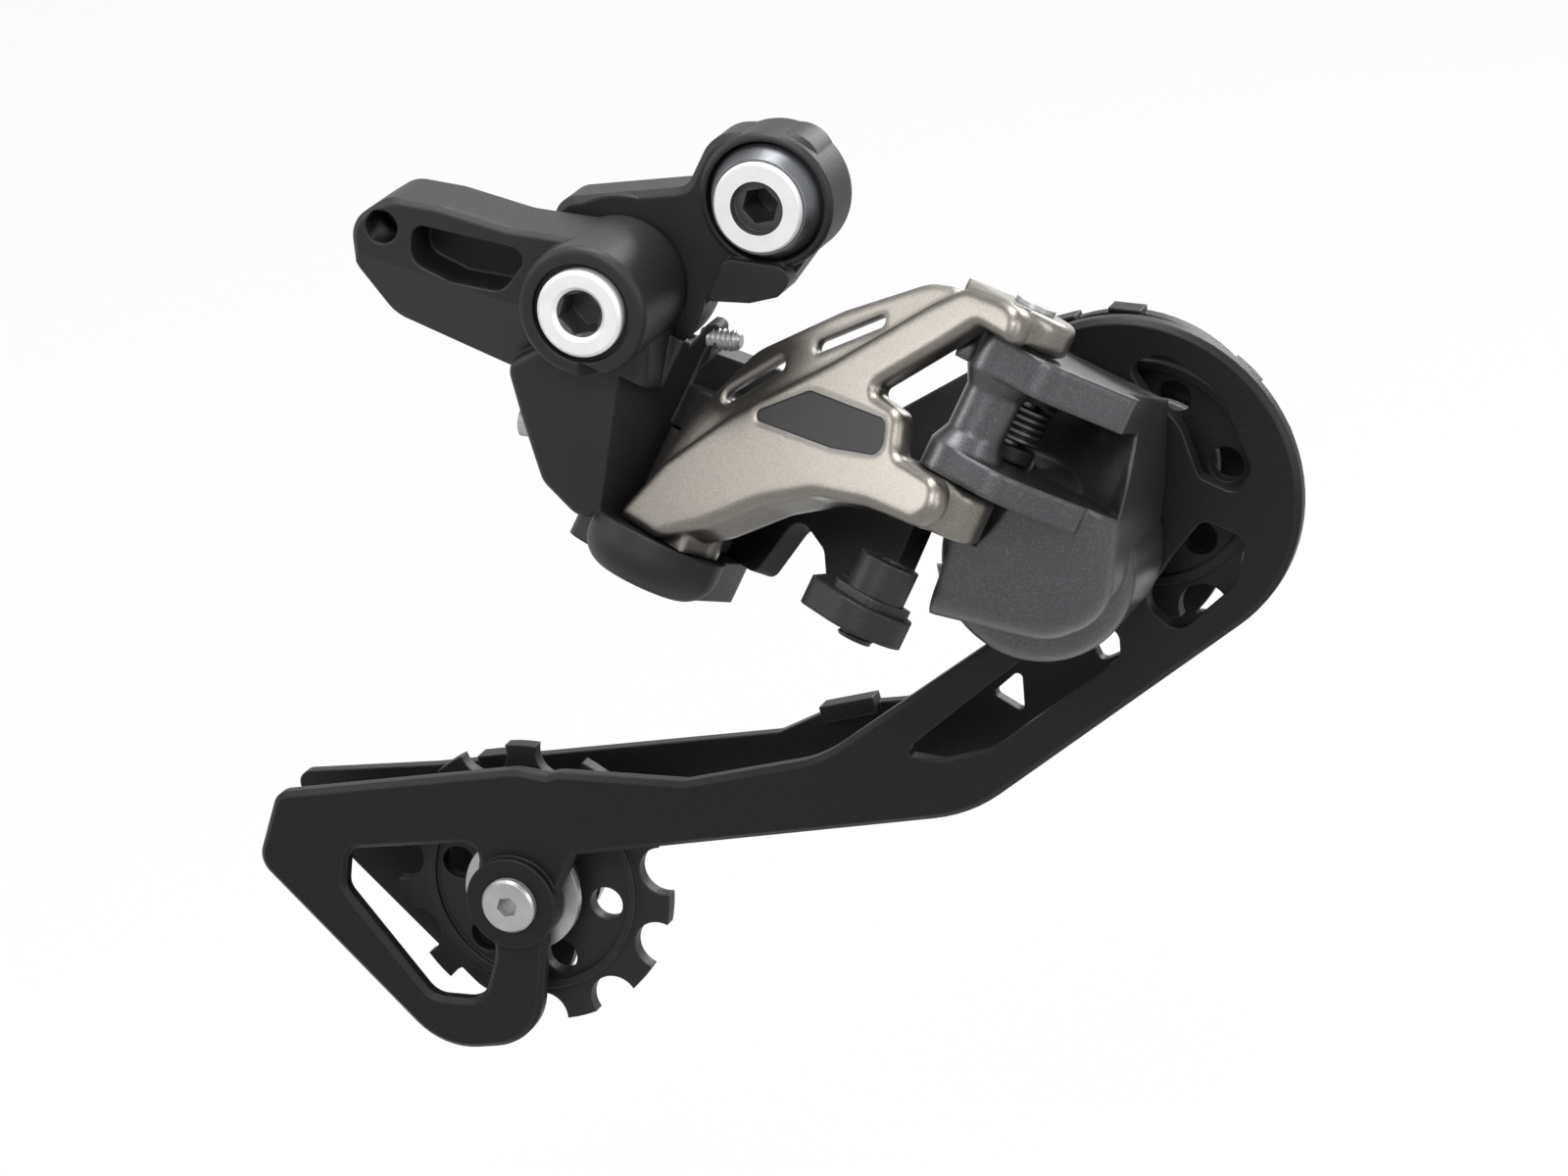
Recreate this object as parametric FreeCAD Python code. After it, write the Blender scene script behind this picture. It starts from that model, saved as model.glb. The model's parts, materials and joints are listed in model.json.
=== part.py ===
import FreeCAD, Part
import math
import os

# Rear bicycle derailleur, low-profile type with a long cage, millimetres.
# Origin: hanger bolt axis, just past the bracket's seat on the hanger.
# +X forward, +Y inboard towards the wheel, +Z up.

V = FreeCAD.Vector
UP = V(0, 0, 1)
INBOARD = V(0, 1, 0)

# fits
RUN = 0.05           # radial play of a turning fit
SIDE = 0.3           # side play between faces of moving pieces

# axes
B_AXIS = (-22.6, -14.5)      # upper pivot, x and z
P_AXIS = (43.0, -50.0)       # cage pivot, x and z
GUIDE_AXIS = (52.9, -42.0)   # guide pulley, x and z
TENSION_AXIS = (-46.4, -122.0)

# planes across the bike, y
BRACKET_T = 8.0              # origin to the bracket's outer face
SEAT = -0.6                  # bracket's face on the hanger
CLIP_T = 1.0
RING_FACE = -13.0            # face of the hanger bolt
B_FACE = -27.0               # face of the upper pivot bolt
CAGE_Y = 3.0                 # outer face of the outer cage plate
OUTER_T = 2.5
CAGE_GAP = 13.0
INNER_T = 2.0
INNER_Y = CAGE_Y + OUTER_T + CAGE_GAP
PULLEY_Y = CAGE_Y + OUTER_T + CAGE_GAP / 2

# hanger and upper pivot
HANGER_R = 5.0               # M10 thread
HEAD_R = 10.4
BLOCK_R = 12.8
B_SHAFT_R = 4.0
B_BUSH_R = 5.5
BARREL_R = 10.0

# linkage: two equal links on four parallel pins
LINK = 45.0
LINK_SIDE = 15.0             # distance between the pins on a body
LINK_START = 28.0            # degrees outboard at rest
PIN_ROLL = 19.5
PIN_TILT = 20.0
PIN_R = 2.0
BOSS_R = 5.5
B_PIN = V(-8.5, -12, -46)
RISE = 32.0                  # knuckle end above body end, along the pins
EYE = 7.6                    # half height of a link's body end
EAR_T = 6.4
EAR_OUT = EYE + SIDE + EAR_T

# pulleys
TEETH = 11
PITCH = 12.7
ROLLER_R = 3.97
TIP_R = 23.0
TOOTH_T = 2.4
HUB_R = 8.0


def turned(angle, vector, axis):
    return FreeCAD.Rotation(axis, angle).multVec(vector)


roll, tilt = math.radians(PIN_ROLL), math.radians(PIN_TILT)
PIN_DIR = V(math.sin(roll), math.cos(roll) * math.sin(tilt), math.cos(roll) * math.cos(tilt))
ACROSS = V(0, math.cos(tilt), -math.sin(tilt))
ALONG0 = ACROSS.cross(PIN_DIR)
ALONG = turned(-LINK_START, ALONG0, PIN_DIR)
FACE_DIR = PIN_DIR.cross(ALONG)
LINK_FRAME = FreeCAD.Placement(FreeCAD.Matrix(
    ALONG.x, FACE_DIR.x, PIN_DIR.x, B_PIN.x,
    ALONG.y, FACE_DIR.y, PIN_DIR.y, B_PIN.y,
    ALONG.z, FACE_DIR.z, PIN_DIR.z, B_PIN.z, 0, 0, 0, 1))

# inner pins in the link frame: along the link, inboard
SHIFT = (-LINK_SIDE * math.sin(math.radians(LINK_START)),
         LINK_SIDE * math.cos(math.radians(LINK_START)))
OUT_B, OUT_P = (0, 0), (LINK, 0)
IN_B, IN_P = SHIFT, (LINK + SHIFT[0], SHIFT[1])


# ---- drawing helpers -------------------------------------------------------

def point(u, v, plane):
    return V(u, 0, v) if plane == "xz" else V(u, v, 0)


def rounded(corners, plane):
    """closed wire through corners (u, v, radius)"""
    edges, ends = [], []
    count = len(corners)
    for i in range(count):
        u, v, radius = corners[i]
        here = point(u, v, plane)
        before = point(corners[i - 1][0], corners[i - 1][1], plane) - here
        after = point(corners[(i + 1) % count][0], corners[(i + 1) % count][1], plane) - here
        before.normalize()
        after.normalize()
        half = before.getAngle(after) / 2
        if radius <= 0 or half > 1.55:
            ends.append((here, here, None))
            continue
        setback = radius / math.tan(half)
        middle = before + after
        middle.normalize()
        centre = here + middle * (radius / math.sin(half))
        ends.append((here + before * setback, here + after * setback, centre - middle * radius))
    for i in range(count):
        start, end, mid = ends[i]
        if mid is not None:
            edges.append(Part.Arc(start, mid, end).toShape())
        following = ends[(i + 1) % count][0]
        if (following - end).Length > 1e-6:
            edges.append(Part.makeLine(end, following))
    return Part.Wire(edges)


def prism(corners, plane, low, high):
    face = Part.Face(rounded(corners, plane))
    normal = INBOARD if plane == "xz" else UP
    face.translate(normal * low)
    return face.extrude(normal * (high - low))


def disc_y(axis, radius, low, high):
    return Part.makeCylinder(radius, high - low, V(axis[0], low, axis[1]), INBOARD)


def disc_z(axis, radius, low, high):
    return Part.makeCylinder(radius, high - low, V(axis[0], axis[1], low), UP)


def cone_y(axis, r_low, r_high, low, high):
    return Part.makeCone(r_low, r_high, high - low, V(axis[0], low, axis[1]), INBOARD)


def strap(a, r_a, b, r_b, plane, low, high):
    """two rounds joined by their outer tangents"""
    disc = disc_y if plane == "xz" else disc_z
    du, dv = b[0] - a[0], b[1] - a[1]
    length = math.hypot(du, dv)
    turn = math.acos((r_a - r_b) / length)
    aim = math.atan2(dv, du)
    left, right = aim + turn, aim - turn
    corners = [(a[0] + r_a * math.cos(left), a[1] + r_a * math.sin(left), 0),
               (b[0] + r_b * math.cos(left), b[1] + r_b * math.sin(left), 0),
               (b[0] + r_b * math.cos(right), b[1] + r_b * math.sin(right), 0),
               (a[0] + r_a * math.cos(right), a[1] + r_a * math.sin(right), 0)]
    bar = prism(corners, plane, low, high)
    return bar.fuse([disc(a, r_a, low, high), disc(b, r_b, low, high)])


def hexagon(axis, across, low, high):
    corners = []
    for i in range(6):
        angle = math.radians(60 * i + 15)
        corners.append((axis[0] + across / math.sqrt(3) * math.cos(angle),
                        axis[1] + across / math.sqrt(3) * math.sin(angle), 0))
    return prism(corners, "xz", low, high)


def rim(shape, level):
    """edges of a shape that lie in the plane y = level"""
    return [e for e in shape.Edges if abs(e.BoundBox.YMax - level) < 0.01 and e.BoundBox.YLength < 0.02]


def joined(first, *others):
    return first.fuse(list(others)).removeSplitter()


def in_links(shape):
    shape = shape.copy()
    shape.Placement = LINK_FRAME.multiply(shape.Placement)
    return shape


def coil(radius, wire, turns):
    """A spring wound turn on turn, along +Z from the origin. Each turn is a ring of flattened section."""
    pitch = 1.8 * wire
    outer = []
    inner = []
    for turn in range(turns):
        for bulge, share in ((0.55, 0), (1, 0.3), (1, 0.7)):
            outer.append(V(radius + bulge * wire, 0, (turn + share) * pitch))
            inner.append(V(radius - bulge * wire, 0, (turn + share) * pitch))
    outer.append(V(radius + 0.55 * wire, 0, turns * pitch))
    inner.append(V(radius - 0.55 * wire, 0, turns * pitch))
    outline = outer + inner[::-1]
    face = Part.Face(Part.makePolygon(outline + outline[:1]))
    return face.revolve(V(0, 0, 0), V(0, 0, 1), 360)


def save(name, shape):
    shape = shape.removeSplitter() if shape.Volume else shape
    solids = shape.Solids
    print(name, len(solids), "solid", "valid" if shape.isValid() else "INVALID", round(shape.Volume, 1))
    (solids[0] if len(solids) == 1 else shape).exportStep("parts/" + name + ".step")


# ---- bracket, hanger bolt, upper pivot -------------------------------------

def bracket():
    plate = prism([(-35.3, -14, 1), (-33.6, -3.4, 4), (-13, 0.4, 3), (-9, 9, 6), (6, 10.5, 5),
                   (11, -1, 6), (1.2, -15.2, 1.5), (-8.8, -16, 1.5), (-13, -21, 2), (-22, -18, 0)],
                  "xz", -BRACKET_T, SEAT)
    plate = plate.makeChamfer(1.0, rim(plate, -BRACKET_T))
    plate = plate.fuse(disc_y(B_AXIS, BLOCK_R, -BRACKET_T, SEAT))
    head = disc_y((0, 0), HEAD_R, -BRACKET_T - 1.5, SEAT)
    head = head.makeFillet(1.0, rim(head, -BRACKET_T - 1.5))
    stop = prism([(-2, -15.4, 0.8), (2.4, -14, 1), (6, -9.4, 2), (-6, -9, 2), (-9, -15.8, 0.8)],
                 "xz", -BRACKET_T - 2.5, -BRACKET_T + 1)
    body = joined(plate, head, stop)
    body = body.cut(disc_y((0, 0), 9.2, -BRACKET_T - 2, -BRACKET_T + 0.5))
    body = body.cut(disc_y((0, 0), HANGER_R + 1 + RUN, -20, 1))
    body = body.cut(disc_y((0, 0), 8.5, SEAT - CLIP_T - SIDE - 0.2, 1))
    body = body.cut(disc_y(B_AXIS, B_SHAFT_R, -20, 1))
    return body.cut(disc_y(B_AXIS, 7, SEAT - 1.6, 1))


def hanger_bolt():
    flange = cone_y((0, 0), 6.6, 6.9, RING_FACE, RING_FACE + 0.6)
    flange = joined(flange, disc_y((0, 0), 6.9, RING_FACE + 0.6, -BRACKET_T + 0.1))
    shank = disc_y((0, 0), HANGER_R + 1, -BRACKET_T, -0.9)
    relief = disc_y((0, 0), HANGER_R - 0.6, -0.9, -0.2)
    thread = disc_y((0, 0), HANGER_R, -0.2, 9)
    tip = cone_y((0, 0), HANGER_R, HANGER_R - 1, 9, 10)
    bolt = joined(flange, shank, relief, thread, tip)
    bolt = bolt.cut(disc_y((0, 0), 4.0, RING_FACE - 1, RING_FACE + 1.6))
    return bolt.cut(hexagon((0, 0), 5.0, RING_FACE - 1, RING_FACE + 8))


def hanger_collar():
    outer = cone_y((0, 0), 7.3, 9.1, RING_FACE + 0.9, -BRACKET_T + 0.5)
    return outer.cut(disc_y((0, 0), 6.9 + RUN, -20, 0))


def hanger_clip():
    high = SEAT - SIDE
    ring = disc_y((0, 0), 8.2, high - CLIP_T, high).cut(disc_y((0, 0), HANGER_R + 1, -5, 2))
    return ring.cut(Part.makeBox(3, 3, 12, V(-1.5, -3, -12)))


def b_axle():
    head = cone_y(B_AXIS, 6.1, 6.6, B_FACE, B_FACE + 0.5)
    axle = joined(head, disc_y(B_AXIS, 6.6, B_FACE + 0.5, B_FACE + 2.2),
                  disc_y(B_AXIS, B_SHAFT_R, B_FACE + 2, SEAT - 0.8),
                  disc_y(B_AXIS, 5.6, SEAT - 1.6, SEAT - 0.3))
    axle = axle.cut(hexagon(B_AXIS, 6.0, B_FACE - 1, B_FACE + 6))
    return axle.cut(cone_y(B_AXIS, 4.2, 3.2, B_FACE - 0.01, B_FACE + 1))


def b_bush():
    bush = disc_y(B_AXIS, B_BUSH_R, B_FACE + 3, -BRACKET_T - 0.8)
    bush = joined(bush, disc_y(B_AXIS, 8.0, -BRACKET_T - 0.8, -BRACKET_T - 0.1))
    return bush.cut(disc_y(B_AXIS, B_SHAFT_R + RUN, -40, 0))


# ---- body ------------------------------------------------------------------

CAP = (-3.0, -2.0)
CAP_R = 10.5


def pin_ear(low, high):
    ear = strap(OUT_B, BOSS_R, IN_B, BOSS_R, "xy", low, high)
    if low < 0:
        dome = disc_z(CAP, CAP_R, low - 1.4, high)
        dome = dome.makeFillet(5.0, [e for e in dome.Edges if e.BoundBox.ZMax < low - 1.3])
        ear = ear.fuse(dome)
    back = prism([(-19, -8, 5), (-2, -5.4, 0), (2, 3, 0), (-3, 17, 4), (-16, 17, 5), (-19, 4, 6)],
                 "xy", low, high)
    return ear.fuse(back)


ARM_FACE = -21.0
SKIRT_FACE = -19.5
POCKET = 7.0
RIDGE = V(-66, ARM_FACE, -9.4)
RIDGE_RUN = V(50, 0, -10.5)
HOUSING = (-56.1, -6.3)
HOUSING_R = 2.6
SCREW_R = 1.5
LIMIT_SCREWS = ((-11.5, -37.4), (-6.0, -42.0))
B_SCREW = (-4.8, B_AXIS[1] - BLOCK_R + 3.9)
B_SCREW_X = B_AXIS[0] + BLOCK_R - 1.6


def limit_screw(spot):
    edge = -35.1 if spot[1] > -40 else -33.6
    shaft = Part.makeCylinder(SCREW_R, 8.4, V(edge - 1, spot[0], spot[1]), V(1, 0, 0))
    head = Part.makeCylinder(2.3, 1.8, V(edge - 2.7, spot[0], spot[1]), V(1, 0, 0))
    screw = joined(head, shaft)
    slots = [Part.makeBox(1, 3.4, 0.7, V(edge - 3.0, spot[0] - 1.7, spot[1] - 0.35)),
             Part.makeBox(1, 0.7, 3.4, V(edge - 3.0, spot[0] - 0.35, spot[1] - 1.7))]
    return screw.cut(slots)


def b_screw():
    shaft = Part.makeCylinder(SCREW_R, 5.4, V(B_SCREW_X, B_SCREW[0], B_SCREW[1]), V(1, 0, 0))
    tip = Part.makeCone(SCREW_R, 1.0, 0.6, V(B_SCREW_X + 5.4, B_SCREW[0], B_SCREW[1]), V(1, 0, 0))
    return joined(shaft, tip)


def cable_arm():
    """hollowed arm that holds the end of the cable housing, with its lower flank sloped inboard"""
    arm = prism([(-22, -5, 3), (-36, -4.4, 8), (-47, -2.2, 8), (-55, -1.6, 5), (-61.4, -6, 5),
                 (-60.6, -13, 4), (-56, -21, 5), (-37, -28, 6), (-24, -24, 4)], "xz", ARM_FACE, -10)
    arm = arm.makeChamfer(0.9, rim(arm, ARM_FACE))
    pocket = [(-51.2, -5.2, 2), (-51.6, -11.2, 3), (-45, -13.8, 3), (-37, -14.4, 3), (-32, -7.6, 2)]
    arm = arm.cut(prism(pocket, "xz", ARM_FACE - 1, ARM_FACE + POCKET))
    flank = Part.Face(Part.makePolygon([RIDGE, RIDGE - INBOARD * 12, RIDGE + V(0, -12, -26),
                                        RIDGE + V(0, 10.5, -22), RIDGE]))
    return arm.cut(flank.extrude(RIDGE_RUN))


def b_body():
    front = B_FACE + 0.9
    barrel = disc_y(B_AXIS, BARREL_R, front, -BRACKET_T - 0.8)
    barrel = barrel.makeFillet(1.2, rim(barrel, front))
    arm = cable_arm()
    skirt = prism([(-14.5, -19, 2), (-29, -21, 4), (-37.6, -26, 3), (-35.0, -35, 8), (-32.0, -44.0, 4),
                   (-26, -49.4, 4), (-18.6, -47, 3), (-15.6, -34, 5)], "xz", SKIRT_FACE, 3)
    skirt = skirt.makeFillet(1.6, rim(skirt, SKIRT_FACE))
    height = B_SCREW[1]
    lug = prism([(-21, height - 6.1, 0), (B_SCREW_X - 0.6, height - 5, 3), (B_SCREW_X + 2, height - 2.6, 1),
                 (B_SCREW_X + 3, height + 2.2, 1.2), (B_SCREW_X, height + 2.4, 1), (B_SCREW_X - 1.2, height - 2.2, 2),
                 (-21, -34, 0)], "xz", -8.2, -1.5)
    spine = prism([(-19, -9, 4), (-12, -14, 3), (-7, -11, 1), (-7, 3, 1), (-13, 8.5, 1), (-13, 17, 2),
                   (-19, 17, 4)], "xy", -EYE - SIDE, 20)
    ears = [in_links(pin_ear(low, low + EAR_T)) for low in (-EAR_OUT, EYE + SIDE)]
    body = joined(barrel, arm, skirt, lug, in_links(spine), *ears)
    room = prism([(-7.4, -20, 0), (30, -20, 0), (30, 30, 0), (-12.8, 30, 0), (-12.8, 8.5, 0), (-7.4, 3, 0)],
                 "xy", -EYE - SIDE, EYE + SIDE)
    sweep = prism([(-7.4, -40, 0), (60, -40, 0), (60, -5.9, 0), (-7.4, -5.9, 0)], "xy", -EYE - SIDE, 12)
    upper = prism([(-7.4, -10.6, 0), (60, -10.6, 0), (60, -5.9, 0), (-7.4, -5.9, 0)], "xy", 12, 60)
    body = body.cut([in_links(room), in_links(sweep), in_links(upper)])
    body = body.cut(disc_y(B_AXIS, BLOCK_R + 1, -BRACKET_T - 0.8, 5))
    for pin in (OUT_B, IN_B):
        body = body.cut(in_links(disc_z(pin, PIN_R, -20, 20)))
    for spot in LIMIT_SCREWS:
        edge = -35.1 if spot[1] > -40 else -33.6
        body = body.cut(Part.makeCylinder(SCREW_R, 15, V(-40, spot[0], spot[1]), V(1, 0, 0)))
        body = body.cut(Part.makeCylinder(2.6, 8, V(edge - 8.9, spot[0], spot[1]), V(1, 0, 0)))
    body = body.cut(Part.makeCylinder(SCREW_R, 12, V(B_SCREW_X - 0.2, B_SCREW[0], B_SCREW[1]), V(1, 0, 0)))
    body = body.cut(disc_y(B_AXIS, B_BUSH_R, -40, 0))
    body = body.cut(disc_y(B_AXIS, 7.6, -40, B_FACE + 2.3))
    body = body.cut(disc_y(HOUSING, HOUSING_R, -30, -12.5))
    body = body.cut(disc_y(HOUSING, 1.0, -13, 0))
    return body


# ---- links -----------------------------------------------------------------

LINK_FACE = -9.5
LINK_BACK = -6.2
LINK_ROUND = 1.4
EAR_R = 7.0
EAR_LOW = (RISE - 18, RISE - 10.4)
EAR_HIGH = (RISE + 11.6, RISE + 16.8)
BADGE = [(9.5, 15, 1), (20, EAR_LOW[1] + 1.7, 2), (37, EAR_LOW[1] + 3.8, 2),
         (39.4, EAR_LOW[1] - 1.2, 2), (29, EAR_LOW[1] - 4, 8)]


def outer_link():
    low, fork, top = EAR_LOW[0], EAR_LOW[1], EAR_HIGH[1]
    mid = LINK - 24
    face = prism([(-6.5, -EYE, 1.2), (-2, 3, 8), (6.8, 14.6, 15), (mid, fork + 6.8, 20),
                  (LINK - 10.5, top - 5.8, 8), (LINK - 5, top - 0.8, 5), (LINK + 3, top, 8),
                  (LINK + 7, top - 0.5, 3), (LINK + 7.4, EAR_HIGH[0], 1), (LINK - 0.5, EAR_HIGH[0], 2),
                  (LINK - 4, EAR_HIGH[0] - 4.2, 2), (LINK - 14.4, fork + 6.2, 1), (LINK - 6.5, fork + 5.8, 3),
                  (LINK - 3.6, fork, 2.5), (LINK + 6.4, fork, 3), (LINK + 8, low + 3, 3), (LINK + 5, low, 3),
                  (LINK - 5, low - 1, 10), (LINK - 16, low - 3.8, 10), (mid - 1, low - 9, 10),
                  (11, -2.5, 8), (3, -EYE, 3)], "xz", LINK_FACE, LINK_BACK)
    face = face.makeFillet(LINK_ROUND, rim(face, LINK_FACE))
    band = prism([(-5.8, -5, 1), (-2.4, 9.5, 8), (5, 24, 10), (mid - 3, top - 13.2, 20),
                  (LINK - 13.3, top - 3.4, 10), (LINK - 5, top - 1.2, 2), (LINK - 7, top - 5.8, 2),
                  (mid, fork + 5, 0), (6.8, 12.8, 0), (-2, 1.6, 0)],
                 "xz", LINK_FACE + 1.6, LINK_BACK)
    for a, b in (((3.6, 16.2), (10.6, 24.0)), ((mid - 4.6, fork + 7.8), (mid + 4.6, fork + 15.4))):
        band = band.cut(strap(a, 1.1, b, 1.1, "xz", LINK_FACE, LINK_BACK + 0.2))
    apron = prism([(6, -5.6, 0), (11, -2.4, 8), (mid - 1, low - 8.9, 10), (mid + 8, low - 3.7, 10),
                   (LINK - 5, low - 0.9, 0), (LINK - 5, low + 1.4, 0), (mid + 7, low - 1.4, 10),
                   (mid - 2, low - 6.9, 10), (10, -0.4, 8), (5, -4, 0)],
                  "xz", LINK_FACE + LINK_ROUND, -1.5)
    eye = disc_z(OUT_B, BOSS_R, -EYE, EYE)
    web = prism([(-6, LINK_BACK - 0.6, 0), (7, LINK_BACK - 0.6, 0), (5, 2, 0), (-5, 2, 0)], "xy", -EYE, EYE)
    ears = []
    for low, high in (EAR_LOW, EAR_HIGH):
        ear = disc_z(OUT_P, EAR_R, low, high)
        ears.append(ear.makeFillet(LINK_ROUND, [e for e in ear.Edges if e.BoundBox.ZLength < 0.01]))
        front = LINK_FACE + LINK_ROUND
        ears.append(prism([(LINK - EAR_R, front, 1), (LINK + 4, front, 1), (LINK + 4, 3, 0),
                           (LINK - 2, 5, 3), (LINK - EAR_R, -5, 2)], "xy", low, high))
    link = joined(face, band, apron, eye, web, *ears)
    link = link.cut(prism(BADGE, "xz", LINK_FACE - 1, LINK_FACE + 0.8))
    link = link.cut(disc_z(OUT_B, PIN_R + RUN, -20, 20))
    link = link.cut(disc_z(OUT_P, PIN_R + RUN, 0, 60))
    return link


def badge_plate():
    plate = prism(BADGE, "xz", LINK_FACE + 0.2, LINK_FACE + 0.8)
    return plate.common(prism([(0, 0, 0), (60, 0, 0), (60, 60, 0), (0, 60, 0)], "xz", -20, 0))


MOUTH = 5.9                  # half height of the knuckle's mouth
ANCHOR = (38.5, 2.2)
ANCHOR_Z = (-4.8, -0.6)
ANCHOR_R = 6.6


def anchor_plate():
    plate = prism([(33, -2.2, 2), (43.2, -2.2, 2), (43.2, 6.8, 2), (33, 6.8, 2)], "xy",
                  ANCHOR_Z[1], ANCHOR_Z[1] + 1.4)
    return plate.cut(disc_z(ANCHOR, 2.5, -20, 5))


def anchor_bolt():
    low = ANCHOR_Z[1] + 1.4
    head = disc_z(ANCHOR, 4.5, low, low + 5.4)
    bolt = joined(head, disc_z(ANCHOR, 2.5, ANCHOR_Z[0] - 1.5, low + 0.1))
    return bolt.cut(disc_z(ANCHOR, 2.2, low + 3, low + 8))


def inner_link():
    half = 2.0
    back = IN_B[1] + half
    low, high, eye = RISE - MOUTH + SIDE, RISE + MOUTH - SIDE, 2.2
    plate = prism([(IN_B[0] - 2, -EYE, 2), (IN_B[0] - 2, EYE, 2), (1.2, EYE, 2), (IN_P[0] - 8, high, 5),
                   (IN_P[0], high, 0), (IN_P[0], low, 0), (IN_P[0] - 8, low, 2), (31, 3, 2),
                   (30.5, ANCHOR_Z[0], 1), (21, ANCHOR_Z[0], 1), (16, 1, 3), (8, 3.5, 3), (5, -EYE, 2)],
                  "xz", back - 2 * half, back)
    notch = prism([(IN_P[0] - 6, low + eye, 1), (60, low + eye, 0), (60, high - eye, 0),
                   (IN_P[0] - 6, high - eye, 1)], "xz", 0, 40)
    eyes = [disc_z(IN_B, BOSS_R - 0.5, -EYE, EYE), disc_z(IN_P, BOSS_R - 0.5, low, low + eye),
            disc_z(IN_P, BOSS_R - 0.5, high - eye, high)]
    arm = prism([(21, back, 1), (21, back - 4, 3), (31, -4.0, 4), (ANCHOR[0], -4.4, 0), (ANCHOR[0], 8, 0),
                 (31, back, 3)], "xy", ANCHOR_Z[0], ANCHOR_Z[1])
    arm = arm.fuse(disc_z(ANCHOR, ANCHOR_R, ANCHOR_Z[0], ANCHOR_Z[1]))
    link = joined(plate.cut(notch), arm, *eyes)
    link = link.cut(disc_z(ANCHOR, 2.5, -20, 5))
    link = link.cut(disc_z(IN_B, PIN_R + RUN, -20, 20))
    return link.cut(disc_z(IN_P, PIN_R + RUN, 0, 60))


def link_pin(axis, low, high, cap=0.8):
    pin = disc_z(axis, PIN_R, low, high)
    if not cap:
        return pin
    return joined(pin, disc_z(axis, PIN_R + 1.1, high, high + cap))


def link_spring():
    spring = coil(4.4, 0.6, 5)
    spring.translate(V(IN_P[0], IN_P[1], RISE - 2.7))
    return spring


# ---- knuckle ---------------------------------------------------------------

KNUCKLE_BACK = CAGE_Y - 0.4
SHELL_R = 15.3
P_SHAFT_R = 5.0
P_COIL_R = 8.6
P_WIRE = 0.9
PILLAR_R = 4.2               # between the knuckle's two lugs
FLARE = 2.6
STOP_R = 1.3
STOP_AT = SHELL_R + 2.5      # from the cage pivot
STOP = (P_AXIS[0] + STOP_AT * math.cos(math.radians(250)), P_AXIS[1] + STOP_AT * math.sin(math.radians(250)))
NOSE = [(-3.712, 8.7265, 0), (3.088, 6.7265, 0), (0.538, 3.5265, 0), (-2.162, -0.8735, 1.2),
        (-5.512, 1.1265, 2)]     # stop face of the knuckle, from the stop pin


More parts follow.
